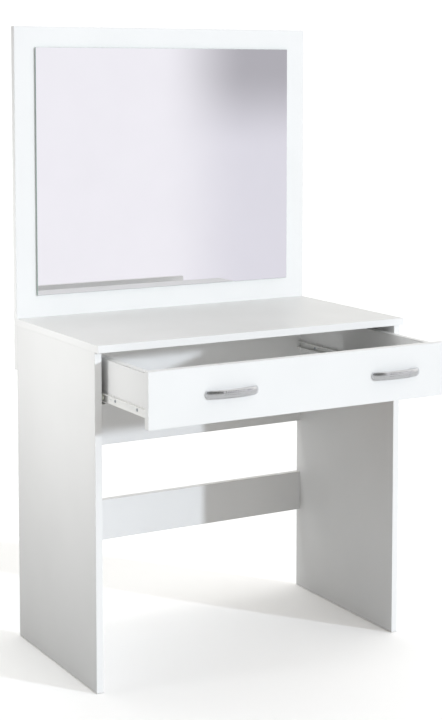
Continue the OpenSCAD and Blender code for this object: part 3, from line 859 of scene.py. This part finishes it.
@dataclass
class Studio:
    """Pale floor, pale surroundings, a low key light, a side light, two glowing flats that paint
    reflections, and the camera.
    """

    floor_reach: float = 60.0
    floor_bounce: str = "#E6E6E6"
    floor_gain: float = 1.28            # the floor is exposed a little past white
    sky: str = "#FFFEFB"
    sky_strength: float = 1.12
    overhead: float = 0.8               # the sky's strength overhead, as a share
    shade_colour: str = "#8C8E90"
    shade_from: Point = (-0.93, -0.35, 0.1)         # where the surroundings are darkest
    shade_reach: Point2 = (0.25, 0.8)
    overhead_reach: Point2 = (0.2, 0.9)
    key_direction: Point = (0.575, -0.818, 0.193)   # towards the light
    key_strength: float = 1.92
    key_angle: float = 2.3
    key_colour: str = "#EDF5FF"
    side_place: Point = (-2.3, 0.35, 1.15)
    side_aim: Point = (-0.39, 0.12, 0.78)
    side_size: float = 0.7
    side_power: float = 1.5
    side_spread: float = 42.0
    # The flats glow and only reflections see them: their tones are painted reflection, greyer or
    # dark where surroundings lie in shade.
    flat_y: float = -4.5
    pale_span: Point2 = (1.2, 7.0)
    pale_rise: Point2 = (0.0, 3.0)
    pale_tone: str = "#FBF9FD"
    pale_right: str = "#E8E6ED"
    pale_top_right: str = "#B9B7BC"
    pale_turn_x: Point2 = (2.5, 3.1)    # over which the pale flat's glow turns greyer: painted shade for the mirror
    pale_turn_z: Point2 = (0.85, 1.35)
    dark_span: Point2 = (-6.0, 1.0)
    dark_rise: Point2 = (0.35, 4.0)
    dark_tone: str = "#70706D"
    dark_sharp: str = "#F4F2F6"         # painted reflection: what the mirror glass shows of the dark flat
    camera_place: Point = (-1.8272, -3.1254, 1.3168)
    camera_yaw: float = 29.782
    camera_pitch: float = 4.76
    camera_lens: float = 80.96
    camera_rise: float = -0.21
    sensor_width: float = 36.0

    def add_stage_object(self, name: str, data: bpy.types.ID) -> bpy.types.Object:
        """Put a studio object in the scene.

        Args:
            name: The object's name.
            data: Its mesh, lamp or camera.

        Returns:
            The new object.
        """
        piece = bpy.data.objects.new(name, data)
        bpy.context.scene.collection.objects.link(piece)
        return piece

    def build_floor(self) -> None:
        """Lay the floor, which the camera sees brighter than it lights the table from below."""
        mesh = bmesh.new()
        bmesh.ops.create_grid(mesh, x_segments=8, y_segments=8, size=self.floor_reach)
        data = bpy.data.meshes.new("studio_floor")
        mesh.to_mesh(data)
        mesh.free()
        floor = self.add_stage_object("studio_floor", data)
        shader = Shader("studio_floor_paint")
        seen = shader.add("ShaderNodeLightPath").outputs["Is Camera Ray"]
        shader.set(Base_Color=shader.blend(seen, srgb(self.floor_bounce),
                                           (self.floor_gain,) * 3 + (1.0,)),
                   Roughness=0.9, Specular_IOR_Level=0.0)
        data.materials.append(shader.material)

    def build_surroundings(self) -> None:
        """Surround the scene with white that falls off at the left and overhead."""
        world = bpy.data.worlds.new("studio_surroundings")
        bpy.context.scene.world = world
        world.use_nodes = True
        tree = world.node_tree
        tree.nodes.clear()
        direction = add_node(tree, "ShaderNodeTexCoord").outputs["Generated"]
        toward = Vector(self.shade_from).normalized()
        facing = add_node(tree, "ShaderNodeVectorMath", {0: direction, 1: toward},
                          operation="DOT_PRODUCT").outputs["Value"]
        share = add_node(tree, "ShaderNodeMapRange", {
            "Value": facing, "From Min": self.shade_reach[0], "From Max": self.shade_reach[1]},
                         interpolation_type="SMOOTHSTEP").outputs["Result"]
        tone = add_node(tree, "ShaderNodeMix", {0: share, 6: srgb(self.sky),
                                                7: srgb(self.shade_colour)},
                        data_type="RGBA").outputs[2]
        seen = add_node(tree, "ShaderNodeLightPath").outputs["Is Camera Ray"]
        colour = add_node(tree, "ShaderNodeMix", {0: seen, 6: tone, 7: (1.0, 1.0, 1.0, 1.0)},
                          data_type="RGBA").outputs[2]
        height = add_node(tree, "ShaderNodeSeparateXYZ", {0: direction}).outputs[2]
        strength = add_node(tree, "ShaderNodeMapRange", {
            "Value": height, "From Min": self.overhead_reach[0],
            "From Max": self.overhead_reach[1], "To Min": self.sky_strength,
            "To Max": self.sky_strength * self.overhead}).outputs["Result"]
        light = add_node(tree, "ShaderNodeBackground", {"Color": colour, "Strength": strength})
        add_node(tree, "ShaderNodeOutputWorld", {"Surface": light.outputs[0]})

    def build_key(self) -> None:
        """Hang the key light: distant, low, from the right front."""
        lamp = bpy.data.lights.new("key_light", "SUN")
        lamp.energy = self.key_strength
        lamp.angle = math.radians(self.key_angle)
        lamp.color = srgb(self.key_colour)[:3]
        holder = self.add_stage_object("key_light", lamp)
        holder.rotation_euler = Vector(self.key_direction).to_track_quat("Z", "Y").to_euler()
        holder.visible_glossy = False

    def build_side_light(self) -> None:
        """Hang the side light, which brightens the upper part of the left side panel."""
        lamp = bpy.data.lights.new("side_light", "AREA")
        lamp.shape = "DISK"
        lamp.size = self.side_size
        lamp.energy = self.side_power
        lamp.spread = math.radians(self.side_spread)
        holder = self.add_stage_object("side_light", lamp)
        holder.location = self.side_place
        away = Vector(self.side_place) - Vector(self.side_aim)
        holder.rotation_euler = away.to_track_quat("Z", "Y").to_euler()
        holder.visible_camera = False
        holder.visible_glossy = False

    def stand_flat(self, name: str, span: Point2, rise: Point2, shader: Shader,
                   tone: bpy.types.NodeSocket) -> None:
        """Stand a glowing studio flat in front of the table, which only reflections show: a
        painted reflection.

        Args:
            name: The flat's name.
            span: Its left and right ends.
            rise: The heights of its lower and upper edges.
            shader: Its material.
            tone: The colour it glows with.
        """
        mesh = bmesh.new()
        mesh.faces.new([mesh.verts.new((x, self.flat_y, z)) for x, z in (
            (span[0], rise[0]), (span[1], rise[0]), (span[1], rise[1]), (span[0], rise[1]))])
        data = bpy.data.meshes.new(name)
        mesh.to_mesh(data)
        mesh.free()
        flat = self.add_stage_object(name, data)
        glow = shader.add("ShaderNodeEmission", {"Color": tone})
        add_node(shader.tree, "ShaderNodeOutputMaterial", {"Surface": glow.outputs[0]},
                 is_active_output=True)
        data.materials.append(shader.material)
        for ray in ("camera", "diffuse", "shadow", "transmission", "volume_scatter"):
            setattr(flat, f"visible_{ray}", False)

    def build_flats(self) -> None:
        """Stand the pale flat the mirror shows, greyer top right as painted shade, and the one
        that is dark only in satin metal, a painted reflection.
        """
        shader = Shader("pale_flat_glow")
        parts = shader.add("ShaderNodeSeparateXYZ", {0: shader.place})
        rightward, upward = [
            shader.add("ShaderNodeMapRange", {"Value": parts.outputs[axis.value],
                                              "From Min": turn[0], "From Max": turn[1]},
                       interpolation_type="SMOOTHSTEP").outputs["Result"]
            for axis, turn in ((Axis.X, self.pale_turn_x), (Axis.Z, self.pale_turn_z))]
        grey = shader.blend(upward, srgb(self.pale_right), srgb(self.pale_top_right))
        self.stand_flat("pale_flat", self.pale_span, self.pale_rise, shader,
                        shader.blend(rightward, srgb(self.pale_tone), grey))
        shader = Shader("dark_flat_glow")
        # The dark flat glows dark for satin metal and pale for the mirror: painted reflection of
        # shaded surroundings.
        sharp = shader.add("ShaderNodeLightPath").outputs["Is Singular Ray"]
        self.stand_flat("dark_flat", self.dark_span, self.dark_rise, shader,
                        shader.blend(sharp, srgb(self.dark_tone), srgb(self.dark_sharp)))

    def build_camera(self) -> None:
        """Stand the camera at the left front, slightly above the tabletop."""
        lens = bpy.data.cameras.new("camera")
        lens.lens = self.camera_lens
        lens.sensor_width = self.sensor_width
        lens.shift_y = self.camera_rise
        lens.clip_end = self.floor_reach * 4.0
        camera = self.add_stage_object("camera", lens)
        camera.location = self.camera_place
        camera.rotation_euler = (math.radians(90.0 - self.camera_pitch), 0.0,
                                 -math.radians(self.camera_yaw))
        bpy.context.scene.camera = camera

    def build(self) -> None:
        """Set up the whole studio."""
        bpy.context.scene.view_settings.view_transform = "Standard"
        self.build_floor()
        self.build_surroundings()
        self.build_key()
        self.build_side_light()
        self.build_flats()
        self.build_camera()


def main() -> None:
    """Build the sub-assemblies in order and report each."""
    logging.basicConfig(level=logging.INFO, format="%(name)s: %(message)s")
    workshop = Workshop()
    Studio().build()
    Table(workshop).build()
    Drawer(workshop).build()
    for side in Side:
        BowHandle(workshop, side).build()
    bpy.context.view_layer.update()
    log.info("finished with %d materials", len(workshop.made))


if __name__ == "__main__":
    main()
